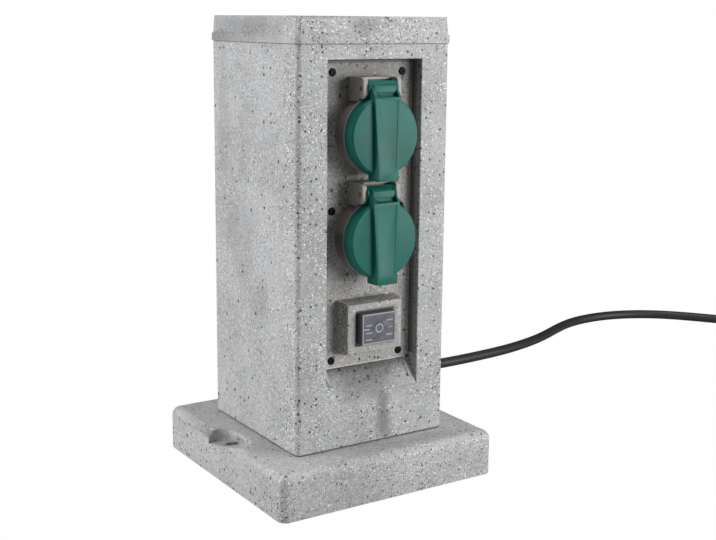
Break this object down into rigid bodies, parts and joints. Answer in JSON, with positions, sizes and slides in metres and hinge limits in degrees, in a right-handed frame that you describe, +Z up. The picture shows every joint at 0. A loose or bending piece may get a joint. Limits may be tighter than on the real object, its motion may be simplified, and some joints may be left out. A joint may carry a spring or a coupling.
{
  "type": "outdoor socket pillar",
  "caption": "Free-standing outdoor power pillar with lidded earthed sockets, a booted rocker switch, a ribbed base slab and a mains cable.",
  "frame": {"origin": "middle of the base slab's underside", "axes": "+Z up, the sockets face -Y, +X to the right seen from the front"},
  "size_m": [0.8124, 0.2936, 0.326],
  "materials": {
    "granite": "mottled, slightly rough",
    "granite_panel": "mottled, slightly rough",
    "socket_grey": "satin",
    "lid_green": "satin",
    "black_rubber": "matte",
    "cable_rubber": "matte",
    "black_plastic": "satin",
    "black_screw": "satin black",
    "clear_boot": "translucent grey",
    "white_plastic": "matte",
    "steel": "plated",
    "nickel": "nickel plated",
    "brass": "drawn",
    "lead_brown": "satin",
    "lead_blue": "satin",
    "lead_green": "satin"
  },
  "bodies": {
    "pillar": {"base_plate": "granite", "base_screws": "steel", "pillar_shell": "granite", "top_cap": "granite", "cap_seal": "black_rubber", "socket_panel": "granite_panel", "panel_gasket": "black_rubber", "panel_screws": "black_screw", "insert_screws": "steel", "switch_body": "black_plastic", "switch_tabs": "brass", "switch_boot": "clear_boot", "cable_bush": "black_rubber", "bush_nut": "black_plastic", "inner_cord": "cable_rubber", "cord_clamp": "white_plastic", "clamp_screws": "steel", "leads_brown": "lead_brown", "leads_blue": "lead_blue", "leads_earth": "lead_green", "power_cable": "cable_rubber", "cable_coil": "cable_rubber", "plug_body": "black_rubber", "plug_contacts": "nickel", "upper_socket_housing": "socket_grey", "upper_ring_nut": "socket_grey", "upper_socket_insert": "socket_grey", "upper_contact_carrier": "white_plastic", "upper_earth_clip": "nickel", "upper_contact_sleeves": "brass", "upper_hinge_pin": "brass", "upper_lid_spring": "steel", "lower_socket_housing": "socket_grey", "lower_ring_nut": "socket_grey", "lower_socket_insert": "socket_grey", "lower_contact_carrier": "white_plastic", "lower_earth_clip": "nickel", "lower_contact_sleeves": "brass", "lower_hinge_pin": "brass", "lower_lid_spring": "steel"},
    "upper_lid_body": {"upper_lid": "lid_green", "upper_lid_seal": "black_rubber"},
    "lower_lid_body": {"lower_lid": "lid_green", "lower_lid_seal": "black_rubber"},
    "rocker_body": {"switch_rocker": "black_plastic"}
  },
  "joints": [
    {"name": "upper_lid_hinge", "type": "hinge", "parent": "pillar", "child": "upper_lid_body", "pos_m": [0, -0.0655, 0.2792], "axis": [-1, 0, 0], "range_deg": [0, 100], "stiffness_Nm_per_rad": 0.03, "springref_deg": -28.65},
    {"name": "lower_lid_hinge", "type": "hinge", "parent": "pillar", "child": "lower_lid_body", "pos_m": [0, -0.0655, 0.2092], "axis": [-1, 0, 0], "range_deg": [0, 72], "stiffness_Nm_per_rad": 0.03, "springref_deg": -28.65},
    {"name": "rocker_tilt", "type": "hinge", "parent": "pillar", "child": "rocker_body", "pos_m": [0, -0.058, 0.116], "axis": [0, 0, -1], "range_deg": [0, 16]}
  ]
}
